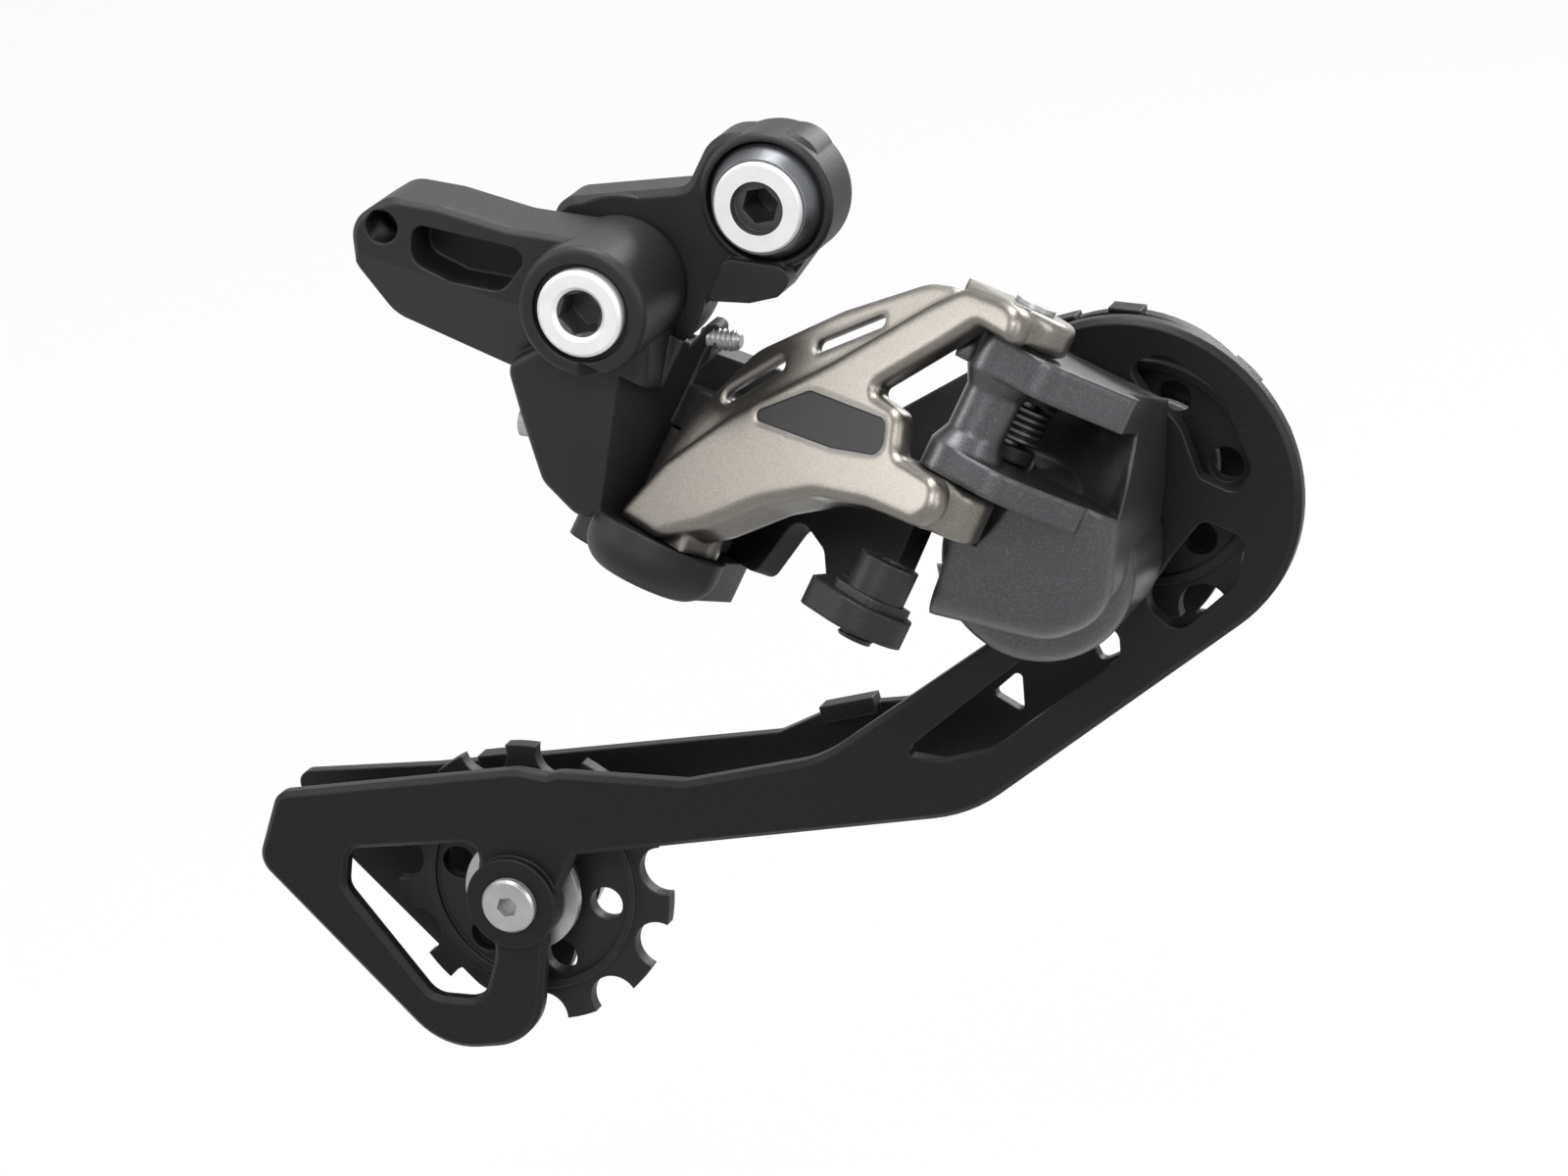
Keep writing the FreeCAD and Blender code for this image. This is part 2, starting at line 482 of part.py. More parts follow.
def knuckle():
    shell = disc_y(P_AXIS, SHELL_R, -16, KNUCKLE_BACK)
    shell = shell.makeFillet(5.0, rim(shell, -16))
    block = prism([(38.6, -31.5, 0), (33, -24, 0), (36, -10, 0), (50, -10, 9), (58.5, -20, 12),
                   (58.4, -40, 14), (57, -54, 9), (48.5, -58.4, 9), (30.3, -56.3, 0)],
                  "xz", -26, KNUCKLE_BACK)
    block = block.makeFillet(6.0, [e for e in rim(block, -26) if e.BoundBox.XMax > 49])
    top = EAR_HIGH[0] - SIDE
    column = disc_z(OUT_P, PILLAR_R, RISE - MOUTH, RISE + MOUTH)
    flare = Part.makeCone(BOSS_R, PILLAR_R, FLARE, V(OUT_P[0], OUT_P[1], RISE - MOUTH))
    upper_flare = Part.makeCone(PILLAR_R, BOSS_R, FLARE, V(OUT_P[0], OUT_P[1], RISE + MOUTH - FLARE))
    lugs = []
    for low, high in ((EAR_LOW[1] + SIDE, RISE - MOUTH), (RISE + MOUTH, top)):
        lugs.append(strap(OUT_P, BOSS_R, IN_P, BOSS_R, "xy", low, high))
        lugs.append(prism([(45, -5.5, 0), (56, -3, 5), (60, 14, 3), (38, 18, 2), (36, 10, 0)],
                          "xy", low, high))
    wide = prism([(-80, -80, 0), (120, -80, 0), (120, 120, 0), (-80, 120, 0)], "xy", top, top + 60)
    mouth = prism([(30, -40, 0), (90, -40, 0), (90, 4, 0), (56, 21, 5), (30, 21, 0)], "xy",
                  RISE - MOUTH, RISE + MOUTH)
    clear = EAR_R + 1.9
    ear_room = disc_z(OUT_P, clear, EAR_LOW[0] - SIDE, EAR_LOW[1] + SIDE)
    ear_side = prism([(20, -40, 0), (LINK + clear, -40, 0), (LINK + clear, 0, 0), (LINK, clear, 0),
                      (20, clear, 0)], "xy", EAR_LOW[0] - SIDE, EAR_LOW[1] + SIDE)
    plate_room = prism([(20, -40, 0), (60, -40, 0), (60, LINK_BACK + 0.4, 0), (20, LINK_BACK + 0.4, 0)],
                       "xy", 0, 60)
    link_room = prism([(-20, -40, 0), (LINK - 14, -40, 0), (LINK - 14, 9, 0), (LINK - 9.8, 20.1, 0),
                       (12.9, 44.6, 0), (-20, 44.6, 0)], "xy", 7, 60)
    body = block.cut([in_links(wide), in_links(mouth), in_links(plate_room)])
    nose = prism([(STOP[0] + x, STOP[1] + z, radius) for x, z, radius in NOSE], "xz",
                 CAGE_Y - 5.5, KNUCKLE_BACK)
    pillar = [in_links(piece) for piece in (column, flare, upper_flare)]
    body = joined(body, shell, nose, *[in_links(lug) for lug in lugs], *pillar)
    eye_room = disc_z(IN_P, BOSS_R, RISE - MOUTH, RISE + MOUTH)
    body = body.cut([in_links(room) for room in (ear_room, ear_side, link_room, eye_room)])
    for pin in (OUT_P, IN_P):
        body = body.cut(in_links(disc_z(pin, PIN_R, 0, 60)))
    body = body.cut(disc_y(P_AXIS, P_SHAFT_R + 1.2, -15, 10))
    body = body.cut(disc_y(P_AXIS, 14.1, KNUCKLE_BACK - 1, 10).cut(disc_y(P_AXIS, 12.3, -10, 20)))
    body = body.cut(disc_y(P_AXIS, P_COIL_R + P_WIRE + SIDE, -10, KNUCKLE_BACK + 1))
    return body


def p_bush():
    return disc_y(P_AXIS, P_SHAFT_R + 1.2, -15, -10.2).cut(disc_y(P_AXIS, P_SHAFT_R + RUN, -20, 10))


def p_seal():
    return disc_y(P_AXIS, 14.1, KNUCKLE_BACK - 1, CAGE_Y - 0.1).cut(disc_y(P_AXIS, 12.3, -10, 10))


def p_axle():
    axle = disc_y(P_AXIS, P_SHAFT_R, -14.6, CAGE_Y + OUTER_T)
    return joined(axle, disc_y(P_AXIS, 7.5, CAGE_Y - 1.4, CAGE_Y))


def p_spring():
    spring = coil(P_COIL_R, P_WIRE, 6)
    spring.rotate(V(0, 0, 0), V(1, 0, 0), -90)
    spring.translate(V(P_AXIS[0], -9.0, P_AXIS[1]))
    return spring


# ---- cage ------------------------------------------------------------------

def outer_plate():
    arm = prism([(-46, -100.2, 6), (-18, -98.4, 0), (4, -91.6, 20), (40, -62, 0), (69.75, -61.8, 0),
                 (28.3, -97.6, 25), (-41, -114.3, 6)], "xz", CAGE_Y, CAGE_Y + OUTER_T)
    loop = prism([(-86.8, -109.6, 3), (-46, -100.2, 8), (-33, -101, 0), (-33, -106, 3), (-41, -124, 12),
                  (-42.5, -146, 10), (-59, -149.5, 12), (-90.2, -121.6, 4)], "xz", CAGE_Y, CAGE_Y + OUTER_T)
    loop = loop.cut(prism([(-74.6, -117.4, 2.5), (-52, -113.2, 2.5), (-53, -121, 6), (-49.6, -131, 8),
                           (-52, -140, 4), (-60.5, -140.5, 4), (-75.2, -124, 3)], "xz", 0, 10))
    crown = disc_y(GUIDE_AXIS, 26, CAGE_Y, CAGE_Y + OUTER_T)
    arm, loop, crown = [piece.makeChamfer(0.8, rim(piece, CAGE_Y)) for piece in (arm, loop, crown)]
    plate = joined(arm, loop, crown,
                   disc_y(P_AXIS, SHELL_R + 1, CAGE_Y, CAGE_Y + OUTER_T))
    windows = [[(51.6, -23.2, 2), (57.5, -20.4, 4), (66, -25.5, 8), (71.4, -37, 2), (69, -41.2, 2),
                (63.2, -39.2, 2), (60, -31, 6), (55.5, -28.2, 2)],
               [(64.0, -45.6, 2), (70.8, -47.8, 2), (69.6, -55, 5), (60.5, -64.2, 3), (54.8, -59.6, 3),
                (59, -52.5, 4)],
               [(17, -89.2, 1), (31, -76, 3), (40, -68, 3), (51.4, -63.6, 2), (51.8, -69, 3),
                (31.5, -86.6, 8), (24, -89.4, 3)]]
    for window in windows:
        plate = plate.cut(prism(window, "xz", 0, 10))
    plate = joined(plate, disc_y(TENSION_AXIS, 7.4, CAGE_Y - 1.5, CAGE_Y + OUTER_T))
    plate = plate.cut(disc_y(STOP, STOP_R, 0, 10))
    plate = plate.cut(disc_y(P_AXIS, P_SHAFT_R, 0, 10))
    plate = plate.cut(disc_y(GUIDE_AXIS, 2.5, 0, 10))
    return plate.cut(disc_y(TENSION_AXIS, 2.5, 0, 10))


def inner_plate():
    low, high = INNER_Y, INNER_Y + INNER_T
    arm = prism([(-90, -112, 2), (-66, -107.6, 8), (-8, -94.4, 3), (2, -88.6, 3), (14, -86, 8), (36, -68, 0),
                 (62, -66, 0), (28, -94, 25), (-30, -110, 10), (-38, -122, 6), (-55, -124, 6),
                 (-60, -114, 4), (-88, -118, 3)], "xz", low, high)
    lobe = prism([(-88, -112, 2), (-58, -108, 0), (-38, -118, 6), (-44, -142, 8), (-57, -146, 6),
                  (-87, -120, 3)], "xz", low, high)
    crown = (GUIDE_AXIS[0] - 4.5, GUIDE_AXIS[1] - 0.5)
    plate = joined(arm, lobe, disc_y(crown, 22.5, low, high), disc_y((42, -52), 22, low, high),
                   disc_y(TENSION_AXIS, 9, low, high))
    for window in ([(26.6, -83.4, 0.8), (31.4, -78.6, 0.8), (32, -86, 0.8)],
                   [(42, -72, 1), (47.4, -69.4, 1), (48.6, -73.4, 1), (44, -76, 1)],
                   [(30, -62, 4), (24, -54, 5), (28, -38, 6), (36, -33, 3), (38, -46, 5), (36, -60, 4)]):
        plate = plate.cut(prism(window, "xz", low - 1, high + 1))
    tabs = []
    for x, z, turn, wide in ((37.6, -22.6, 20, 5), (47.4, -19.9, 0, 5), (-55, -104.6, 13, 5), (4, -88, 18, 9)):
        tab = Part.makeBox(wide, 3.4, 2.6, V(-wide / 2, low - 2.4, -1.6))
        tab.rotate(V(0, 0, 0), INBOARD, -turn)
        tab.translate(V(x, 0, z))
        tabs.append(tab)
    plate = joined(plate, *tabs)
    plate = plate.cut(disc_y(GUIDE_AXIS, 2.5, low - 1, high + 1))
    return plate.cut(disc_y(TENSION_AXIS, 2.5, low - 1, high + 1))


def stop_pin():
    return disc_y(STOP, STOP_R, CAGE_Y - 5, CAGE_Y + OUTER_T)


def pulley(axis, phase):
    pitch_r = PITCH / 2 / math.sin(math.pi / TEETH)
    wheel = disc_y(axis, TIP_R, PULLEY_Y - TOOTH_T / 2, PULLEY_Y + TOOTH_T / 2)
    cuts = []
    for i in range(TEETH):
        angle = 2 * math.pi * i / TEETH + math.radians(phase)
        seat = (axis[0] + pitch_r * math.cos(angle), axis[1] + pitch_r * math.sin(angle))
        cuts.append(disc_y(seat, ROLLER_R, 0, 30))
    for i in range(6):
        angle = 2 * math.pi * i / 6 + math.radians(phase + 12)
        hole = (axis[0] + 12.6 * math.cos(angle), axis[1] + 12.6 * math.sin(angle))
        cuts.append(disc_y(hole, 2.7, 0, 30))
    wheel = wheel.cut(cuts)
    rim = disc_y(axis, 17.6, PULLEY_Y - 2.0, PULLEY_Y + 2.0).cut(disc_y(axis, 16.2, 0, 30))
    hub = disc_y(axis, HUB_R, PULLEY_Y - 4, PULLEY_Y + 4)
    wheel = joined(wheel, rim, hub)
    return wheel.cut(disc_y(axis, 4.0 + RUN, 0, 30))


def pulley_bush(axis):
    reach = CAGE_GAP / 2
    return disc_y(axis, 4.0, PULLEY_Y - reach, PULLEY_Y + reach).cut(disc_y(axis, 2.5, 0, 30))


def pulley_cover(axis, side):
    edge = PULLEY_Y + side * (4 + SIDE)
    low, high = min(edge, edge + side * 1.4), max(edge, edge + side * 1.4)
    ring = disc_y(axis, HUB_R + 1.5, low, high)
    return ring.cut(disc_y(axis, 4.0, 0, 30))


def tension_bolt():
    low = CAGE_Y - 3.0
    head = cone_y(TENSION_AXIS, 4.0, 4.4, low, low + 0.5)
    head = joined(head, disc_y(TENSION_AXIS, 4.4, low + 0.5, CAGE_Y - 1.5))
    bolt = joined(head, disc_y(TENSION_AXIS, 2.5, CAGE_Y - 1.6, INNER_Y + INNER_T))
    return bolt.cut(hexagon(TENSION_AXIS, 3.0, low - 1, low + 2))


def guide_bolt():
    high = INNER_Y + INNER_T
    head = disc_y(GUIDE_AXIS, 4.4, high, high + 2)
    bolt = joined(head, disc_y(GUIDE_AXIS, 2.5, CAGE_Y, high + 0.1))
    return bolt.cut(hexagon(GUIDE_AXIS, 3.0, high + 0.4, high + 3))


os.makedirs("parts", exist_ok=True)

save("bracket", bracket())
save("hanger_bolt", hanger_bolt())
save("hanger_collar", hanger_collar())
save("hanger_clip", hanger_clip())
save("b_axle", b_axle())
save("b_bush", b_bush())
save("b_body", b_body())
save("outer_link", in_links(outer_link()))
save("badge_plate", in_links(badge_plate()))
save("inner_link", in_links(inner_link()))
save("link_spring", in_links(link_spring()))
save("knuckle", knuckle())
save("p_axle", p_axle())
save("p_bush", p_bush())
save("p_seal", p_seal())
save("anchor_plate", in_links(anchor_plate()))
save("anchor_bolt", in_links(anchor_bolt()))
save("limit_screw_high", limit_screw(LIMIT_SCREWS[0]))
save("limit_screw_low", limit_screw(LIMIT_SCREWS[1]))
save("b_screw", b_screw())
save("p_spring", p_spring())
save("outer_plate", outer_plate())
save("inner_plate", inner_plate())
save("stop_pin", stop_pin())
save("pin_outer_body", in_links(link_pin(OUT_B, -EAR_OUT, EAR_OUT)))
save("pin_inner_body", in_links(link_pin(IN_B, -EAR_OUT, EAR_OUT)))
save("pin_outer_knuckle", in_links(link_pin(OUT_P, EAR_LOW[0] + 0.4, EAR_HIGH[1])))
save("pin_inner_knuckle", in_links(link_pin(IN_P, EAR_LOW[1] + 0.6, RISE + 11, 0)))
for name, axis, phase in (("tension", TENSION_AXIS, -20), ("guide", GUIDE_AXIS, 0)):
    save(name + "_pulley", pulley(axis, phase))
    save(name + "_bush", pulley_bush(axis))
    save(name + "_cover_outer", pulley_cover(axis, -1))
    save(name + "_cover_inner", pulley_cover(axis, 1))
save("tension_bolt", tension_bolt())
save("guide_bolt", guide_bolt())
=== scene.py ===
import json
import math
import bmesh
import bpy
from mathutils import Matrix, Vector


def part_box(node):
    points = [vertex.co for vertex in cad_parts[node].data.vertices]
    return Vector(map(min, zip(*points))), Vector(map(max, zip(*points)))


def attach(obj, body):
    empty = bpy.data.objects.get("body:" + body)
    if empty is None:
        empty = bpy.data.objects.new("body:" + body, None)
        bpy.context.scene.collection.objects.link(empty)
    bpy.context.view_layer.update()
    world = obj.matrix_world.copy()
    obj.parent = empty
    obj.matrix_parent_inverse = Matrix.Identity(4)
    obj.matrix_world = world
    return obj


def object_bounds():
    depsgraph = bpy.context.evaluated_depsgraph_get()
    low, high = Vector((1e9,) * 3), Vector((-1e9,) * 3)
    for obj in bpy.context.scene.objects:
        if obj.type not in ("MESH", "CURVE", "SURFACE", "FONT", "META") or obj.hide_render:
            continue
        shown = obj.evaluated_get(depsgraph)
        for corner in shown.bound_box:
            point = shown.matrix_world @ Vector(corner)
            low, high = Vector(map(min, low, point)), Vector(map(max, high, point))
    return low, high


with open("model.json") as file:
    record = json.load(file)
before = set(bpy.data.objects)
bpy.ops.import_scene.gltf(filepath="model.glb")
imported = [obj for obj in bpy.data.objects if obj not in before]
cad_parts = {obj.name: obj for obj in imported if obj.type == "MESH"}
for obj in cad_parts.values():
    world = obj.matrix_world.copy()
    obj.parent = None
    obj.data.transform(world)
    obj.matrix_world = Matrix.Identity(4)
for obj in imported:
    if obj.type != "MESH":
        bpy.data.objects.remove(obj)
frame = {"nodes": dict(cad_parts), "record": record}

cadBox = [list(corner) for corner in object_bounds()]
nodes = frame["nodes"]
joints = {joint["name"]: joint for joint in frame["record"]["behaviour"]["joints"]}
print("frame loaded:", len(nodes), "nodes")


# a number socket that understands arithmetic, so masks read as plain formulas
class Value:
    def __init__(self, owner, socket):
        self.owner = owner
        self.socket = socket

    def combine(self, operation, first, second=0.0, clamp=False):
        settings = {"operation": operation, "use_clamp": clamp}
        node = self.owner.make("ShaderNodeMath", settings, {0: first, 1: second})
        return Value(self.owner, node.outputs[0])

    def __add__(self, other):
        return self.combine("ADD", self, other)

    def __radd__(self, other):
        return self.combine("ADD", other, self)

    def __sub__(self, other):
        return self.combine("SUBTRACT", self, other)

    def __rsub__(self, other):
        return self.combine("SUBTRACT", other, self)

    def __mul__(self, other):
        return self.combine("MULTIPLY", self, other)

    def __rmul__(self, other):
        return self.combine("MULTIPLY", other, self)

    def __pow__(self, other):
        return self.combine("POWER", self, other)

    def __gt__(self, other):
        return self.combine("GREATER_THAN", self, other)

    def __lt__(self, other):
        return self.combine("LESS_THAN", self, other)

    def sine(self):
        return self.combine("SINE", self)

    def held(self):
        return self.combine("ADD", self, 0.0, clamp=True)  # kept between 0 and 1


# a node tree with a single way to add nodes to it
class Nodes:
    def __init__(self, tree):
        self.tree = tree
        self.tree.nodes.clear()

    def make(self, kind, settings=None, sockets=None):
        node = self.tree.nodes.new(kind)
        for label, setting in (settings or {}).items():
            setattr(node, label, setting)
        for label, what in (sockets or {}).items():
            if isinstance(what, Value):
                what = what.socket
            if isinstance(what, bpy.types.NodeSocket):
                self.tree.links.new(what, node.inputs[label])
            else:
                node.inputs[label].default_value = what
        return node

    def value(self, node, label=0):
        return Value(self, node.outputs[label])

    # 1 for rays from the camera, off a shiny surface or through glass, 0 for the light on the part
    def seeingRays(self):
        path = self.make("ShaderNodeLightPath")
        return (self.value(path, "Is Camera Ray") + self.value(path, "Is Glossy Ray")
                + self.value(path, "Is Transmission Ray")).held()


# one node material with its shader
class Finish(Nodes):
    def __init__(self, name, roughness=0.5, metallic=0.0, **fixed):
        self.surface = bpy.data.materials.new(name)
        self.surface.use_nodes = True
        super().__init__(self.surface.node_tree)
        self.shader = self.make("ShaderNodeBsdfPrincipled", {}, {
            "Roughness": roughness, "Metallic": metallic})
        for label, amount in fixed.items():
            self.shader.inputs[label.replace("_", " ")].default_value = amount
        self.output = self.make("ShaderNodeOutputMaterial", {}, {"Surface": self.shader.outputs[0]})
        self.place = self.make("ShaderNodeTexCoord").outputs["Object"]

    def noise(self, scale, detail=3.0):
        return self.value(self.make("ShaderNodeTexNoise", {}, {
            "Vector": self.place, "Scale": scale, "Detail": detail, "Roughness": 0.55}), "Fac")

    def flakes(self, scale):
        cells = self.make("ShaderNodeTexVoronoi", {"feature": "F1"}, {"Vector": self.place, "Scale": scale})
        parts = self.make("ShaderNodeSeparateColor", {}, {"Color": cells.outputs["Color"]})
        return self.value(parts, 0)  # one random number for each flake

    def distanceFrom(self, axis):
        parts = self.make("ShaderNodeSeparateXYZ", {}, {"Vector": self.place})
        across = self.value(parts, "X") - axis[0]
        upward = self.value(parts, "Z") - axis[2]
        return (across * across + upward * upward) ** 0.5

    # the surface's normal with its edges rounded off
    def rounded(self, radius):
        return self.make("ShaderNodeBevel", {"samples": 6}, {"Radius": radius}).outputs[0]

    # 0 on a flat face, rising to 1 where the rounded normal turns away from the true one
    def wornEdges(self, soft, steepness=5):
        flat = self.make("ShaderNodeNewGeometry")
        turn = self.make("ShaderNodeVectorMath", {"operation": "DOT_PRODUCT"}, {
            0: soft, 1: flat.outputs["Normal"]})
        return ((1 - self.value(turn, "Value")) * steepness).held()

    def blend(self, amount, one, other):
        mix = self.make("ShaderNodeMix", {"data_type": "RGBA"}, {0: amount})
        for at, tone in ((6, one), (7, other)):
            if isinstance(tone, bpy.types.NodeSocket):
                self.tree.links.new(tone, mix.inputs[at])
            else:
                mix.inputs[at].default_value = (*tone, 1)
        return mix.outputs[2]

    def bump(self, height, depth, normal=None):
        sockets = {"Height": height, "Strength": 1.0, "Distance": depth}
        if normal:
            sockets["Normal"] = normal
        return self.make("ShaderNodeBump", {}, sockets).outputs[0]

    def feed(self, **what):
        for label, socket in what.items():
            if isinstance(socket, Value):
                socket = socket.socket
            self.tree.links.new(socket, self.shader.inputs[label.replace("_", " ")])


print("finish tools ready")

# in each finish: tones, the rounding and relief in metres, and the scales of its patterns
blackCoat = {"low": (0.007, 0.007, 0.0075), "high": (0.014, 0.014, 0.0145), "edge": (0.05, 0.05, 0.052),
             "rounding": 0.0007, "relief": 0.00004, "cloud": 45, "grain": 2600}


def makeBlackCoat():
    finish = Finish("black_satin_coat", Specular_IOR_Level=0.32)
    soft = finish.rounded(blackCoat["rounding"])
    worn = finish.wornEdges(soft)
    cloud = finish.noise(blackCoat["cloud"], 4)
    grain = finish.noise(blackCoat["grain"], 2)
    tone = finish.blend(cloud, blackCoat["low"], blackCoat["high"])
    finish.feed(Base_Color=finish.blend(worn * cloud * 0.5, tone, blackCoat["edge"]),
                Roughness=0.40 + grain * 0.10 + cloud * 0.10 - worn * 0.08,
                Normal=finish.bump(grain, blackCoat["relief"], soft))
    return finish.surface


blackPlate = {"low": (0.003, 0.003, 0.0032), "high": (0.007, 0.007, 0.0073), "edge": (0.05, 0.05, 0.052),
              "flake": (0.10, 0.10, 0.11), "rounding": 0.0005, "relief": 0.00003,
              "cloud": 30, "grain": 3400, "flakes": 7000}


def makeBlackPlate():
    finish = Finish("black_anodised_plate", Specular_IOR_Level=0.22)
    soft = finish.rounded(blackPlate["rounding"])
    worn = finish.wornEdges(soft)
    cloud = finish.noise(blackPlate["cloud"], 4)
    grain = finish.noise(blackPlate["grain"], 2)
    sparkle = (finish.flakes(blackPlate["flakes"]) > 0.965) * 0.1
    tone = finish.blend(cloud, blackPlate["low"], blackPlate["high"])
    tone = finish.blend(sparkle, tone, blackPlate["flake"])
    finish.feed(Base_Color=finish.blend(worn * 0.5, tone, blackPlate["edge"]),
                Roughness=0.36 + grain * 0.12 + cloud * 0.08,
                Normal=finish.bump(grain, blackPlate["relief"], soft))
    return finish.surface


greyLink = {"shade": (0.100, 0.090, 0.077), "light": (0.160, 0.146, 0.127), "edge": (0.46, 0.44, 0.41),
            "rounding": 0.0016, "relief": 0.000015, "cloud": 38, "grain": 4200, "flakes": 9000}


def makeGreyLink():
    finish = Finish("warm_grey_metallic", metallic=0.92, Coat_Roughness=0.2, Coat_IOR=1.45)
    soft = finish.rounded(greyLink["rounding"])
    worn = finish.wornEdges(soft)
    cloud = finish.noise(greyLink["cloud"], 3)
    flake = finish.flakes(greyLink["flakes"])
    grain = finish.noise(greyLink["grain"], 2)
    tone = finish.blend(cloud, greyLink["shade"], greyLink["light"])
    tone = finish.blend(flake * 0.25, tone, greyLink["edge"])
    finish.feed(Base_Color=finish.blend(worn * 0.5, tone, greyLink["edge"]),
                Roughness=0.26 + flake * 0.05 + cloud * 0.04,
                Coat_Weight=0.25 + cloud * 0.1,
                Normal=finish.bump(grain, greyLink["relief"], soft))
    return finish.surface


greyKnuckle = {"base": (0.045, 0.045, 0.048), "haze": (0.085, 0.085, 0.090), "flake": (0.25, 0.25, 0.26),
               "rounding": 0.0012, "relief": 0.00002, "cloud": 40, "grain": 3000, "flakes": 8500}


def makeGreyKnuckle():
    finish = Finish("dark_sparkle_metallic", Coat_Roughness=0.25)
    soft = finish.rounded(greyKnuckle["rounding"])
    cloud = finish.noise(greyKnuckle["cloud"], 3)
    flake = finish.flakes(greyKnuckle["flakes"])
    grain = finish.noise(greyKnuckle["grain"], 2)
    spark = (flake > 0.88) * 0.3
    tone = finish.blend(cloud, greyKnuckle["base"], greyKnuckle["haze"])
    finish.feed(Base_Color=finish.blend(spark, tone, greyKnuckle["flake"]),
                Metallic=0.75 + spark * 0.6,
                Roughness=0.31 + flake * 0.05 + cloud * 0.05,
                Coat_Weight=0.15 + cloud * 0.1,
                Normal=finish.bump(grain, greyKnuckle["relief"], soft))
    return finish.surface


# the socket tone is painted shade: within the two socket radii below, the face is painted near black where
# the hex socket's bore lies in shade
turnedFace = {"low": (0.72, 0.72, 0.73), "high": (0.90, 0.90, 0.91), "socket": (0.02, 0.02, 0.022),
              "groove": 0.00018, "rounding": 0.0003, "relief": 0.000006, "streak": 300,
              "hangerSocketShade": 0.0041, "pivotSocketShade": 0.0036}


def makeTurnedFace(name, axis, socketShadeRadius):
    finish = Finish(name, metallic=0.25)
    soft = finish.rounded(turnedFace["rounding"])
    worn = finish.wornEdges(soft)
    away = finish.distanceFrom(axis)
    rings = (away * (2 * math.pi / turnedFace["groove"])).sine()
    streak = finish.noise(turnedFace["streak"], 4)
    tone = finish.blend(streak, turnedFace["low"], turnedFace["high"])
    # painted shade: inside the socket radius around the axis, the face is painted near black in place of the
    # shade in the hex socket's bore
    finish.feed(Base_Color=finish.blend((away < socketShadeRadius) * 0.96, tone, turnedFace["socket"]),
                Roughness=0.30 + streak * 0.14 + worn * 0.1,
                Normal=finish.bump(rings * 0.5 + streak, turnedFace["relief"], soft))
    return finish.surface


# the ripple is in radians per metre from the axis
greyCollar = {"low": (0.10, 0.103, 0.112), "high": (0.19, 0.195, 0.205),
              "rounding": 0.0004, "relief": 0.000008, "ripple": 42000, "streak": 160}


def makeGreyCollar(axis):
    finish = Finish("grey_anodised_collar", metallic=0.8)
    soft = finish.rounded(greyCollar["rounding"])
    rings = (finish.distanceFrom(axis) * greyCollar["ripple"]).sine()
    streak = finish.noise(greyCollar["streak"], 4)
    finish.feed(Base_Color=finish.blend(streak, greyCollar["low"], greyCollar["high"]),
                Roughness=0.30 + streak * 0.15,
                Normal=finish.bump(rings * 0.4 + streak, greyCollar["relief"], soft))
    return finish.surface


satinSteel = {"low": (0.30, 0.30, 0.31), "high": (0.48, 0.48, 0.49), "stain": (0.16, 0.15, 0.14),
              "rounding": 0.0002, "relief": 0.00002, "streak": 420, "stains": 90}


def makeSatinSteel(name, depth=1.0):
    finish = Finish(name, metallic=0.6)
    soft = finish.rounded(satinSteel["rounding"])
    streak = finish.noise(satinSteel["streak"], 5)
    stain = (finish.noise(satinSteel["stains"], 3) - 0.5) * 2
    tone = finish.blend(streak, satinSteel["low"], satinSteel["high"])
    finish.feed(Base_Color=finish.blend(stain.held() * 0.6, tone, satinSteel["stain"]),
                Roughness=0.28 + streak * 0.18,
                Normal=finish.bump(streak, satinSteel["relief"] * depth, soft))
    return finish.surface


blackSteel = {"low": (0.010, 0.010, 0.011), "high": (0.022, 0.022, 0.024), "edge": (0.12, 0.12, 0.125),
              "rounding": 0.0004, "relief": 0.00003, "cloud": 180, "grain": 2800}


def makeBlackSteel():
    finish = Finish("blackened_steel", metallic=0.4)
    soft = finish.rounded(blackSteel["rounding"])
    worn = finish.wornEdges(soft)
    cloud = finish.noise(blackSteel["cloud"], 4)
    grain = finish.noise(blackSteel["grain"], 2)
    tone = finish.blend(cloud, blackSteel["low"], blackSteel["high"])
    finish.feed(Base_Color=finish.blend(worn * 0.6, tone, blackSteel["edge"]),
                Roughness=0.34 + grain * 0.12 + cloud * 0.08,
                Normal=finish.bump(grain, blackSteel["relief"], soft))
    return finish.surface


springWire = {"low": (0.05, 0.05, 0.052), "high": (0.16, 0.16, 0.165),
              "relief": 0.00002, "oil": 220, "grain": 1800}


def makeSpringWire():
    finish = Finish("oiled_spring_wire", metallic=0.9)
    oil = finish.noise(springWire["oil"], 3)
    grain = finish.noise(springWire["grain"], 2)
    finish.feed(Base_Color=finish.blend(oil, springWire["low"], springWire["high"]),
                Roughness=0.22 + oil * 0.22,
                Normal=finish.bump(grain, springWire["relief"]))
    return finish.surface


bearingMetal = {"low": (0.36, 0.27, 0.13), "high": (0.58, 0.46, 0.26), "relief": 0.00002, "pores": 2400}


def makeBearingMetal():
    finish = Finish("plain_bearing_metal", metallic=1.0)
    pores = finish.flakes(bearingMetal["pores"])
    finish.feed(Base_Color=finish.blend(pores, bearingMetal["low"], bearingMetal["high"]),
                Roughness=0.34 + pores * 0.2,
                Normal=finish.bump(pores, bearingMetal["relief"]))
    return finish.surface


pulleyPlastic = {"low": (0.005, 0.005, 0.0055), "high": (0.011, 0.011, 0.0115), "rub": (0.03, 0.03, 0.029),
                 "rounding": 0.0005, "relief": 0.00004, "cloud": 70, "grain": 1900}


